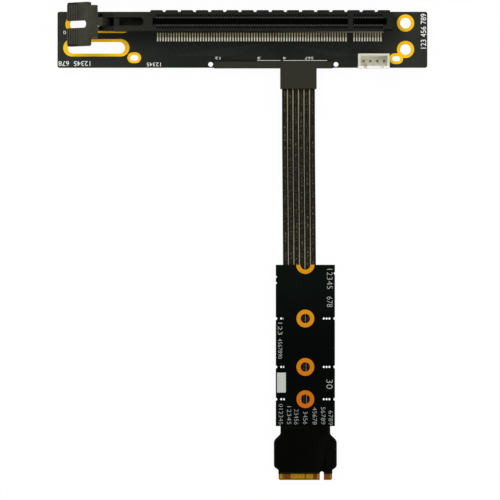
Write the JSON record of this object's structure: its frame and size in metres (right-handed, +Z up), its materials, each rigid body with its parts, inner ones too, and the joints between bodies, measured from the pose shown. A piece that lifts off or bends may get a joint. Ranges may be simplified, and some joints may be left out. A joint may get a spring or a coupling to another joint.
{
  "type": "gumstick ssd to pcie adapter cable",
  "caption": "Adapter cable that joins a gumstick plug board to a long card slot board through a flat twin-conductor cable, with a hinged card latch and a power header.",
  "frame": {"origin": "middle of the footprint of the two boards and the latch, at the surface that the cable lies on", "axes": "+X along the card slot, towards the power header; +Y from the plug's tip to the slot board; +Z up, out of the slot"},
  "size_m": [0.1376, 0.1772, 0.0156],
  "materials": {
    "board_mask": "black solder mask, satin",
    "gold_rings": "gold-plated copper",
    "housing_black": "moulded, matt",
    "tinned_contacts": "tin plated",
    "latch_black": "moulded, matt",
    "header_white": "moulded nylon",
    "overmould_brown": "moulded, matt",
    "stick_mask": "black solder mask, satin",
    "gold_fingers": "gold-plated, bright",
    "overmould_black": "moulded, smooth",
    "cable_jacket": "smooth foil-backed jacket"
  },
  "bodies": {
    "base": {"slot_board": "board_mask", "slot_board_rings": "gold_rings", "slot_housing": "housing_black", "slot_contacts_near": "tinned_contacts", "slot_contacts_far": "tinned_contacts", "board_locks": "housing_black", "power_header": "header_white", "power_header_pins": "tinned_contacts", "cable_exit_overmould": "overmould_brown", "gumstick_board": "stick_mask", "gumstick_rings": "gold_rings", "edge_fingers_top": "gold_fingers", "edge_fingers_bottom": "gold_fingers", "plug_overmould": "overmould_black", "cable_strip_lower_1": "cable_jacket", "cable_strip_lower_2": "cable_jacket", "cable_strip_lower_3": "cable_jacket", "cable_strip_lower_4": "cable_jacket", "cable_strip_lower_5": "cable_jacket", "cable_strip_lower_6": "cable_jacket", "cable_strip_upper_1": "cable_jacket", "cable_strip_upper_2": "cable_jacket", "cable_strip_upper_3": "cable_jacket", "cable_strip_upper_4": "cable_jacket", "cable_strip_upper_5": "cable_jacket", "cable_strip_upper_6": "cable_jacket"},
    "latch": {"latch_lever": "latch_black"}
  },
  "joints": [
    {"name": "latch_swing", "type": "hinge", "parent": "base", "child": "latch", "pos_m": [-0.051, 0.08135, 0.0076], "axis": [0, 1, 0], "range_deg": [0, 30]}
  ]
}
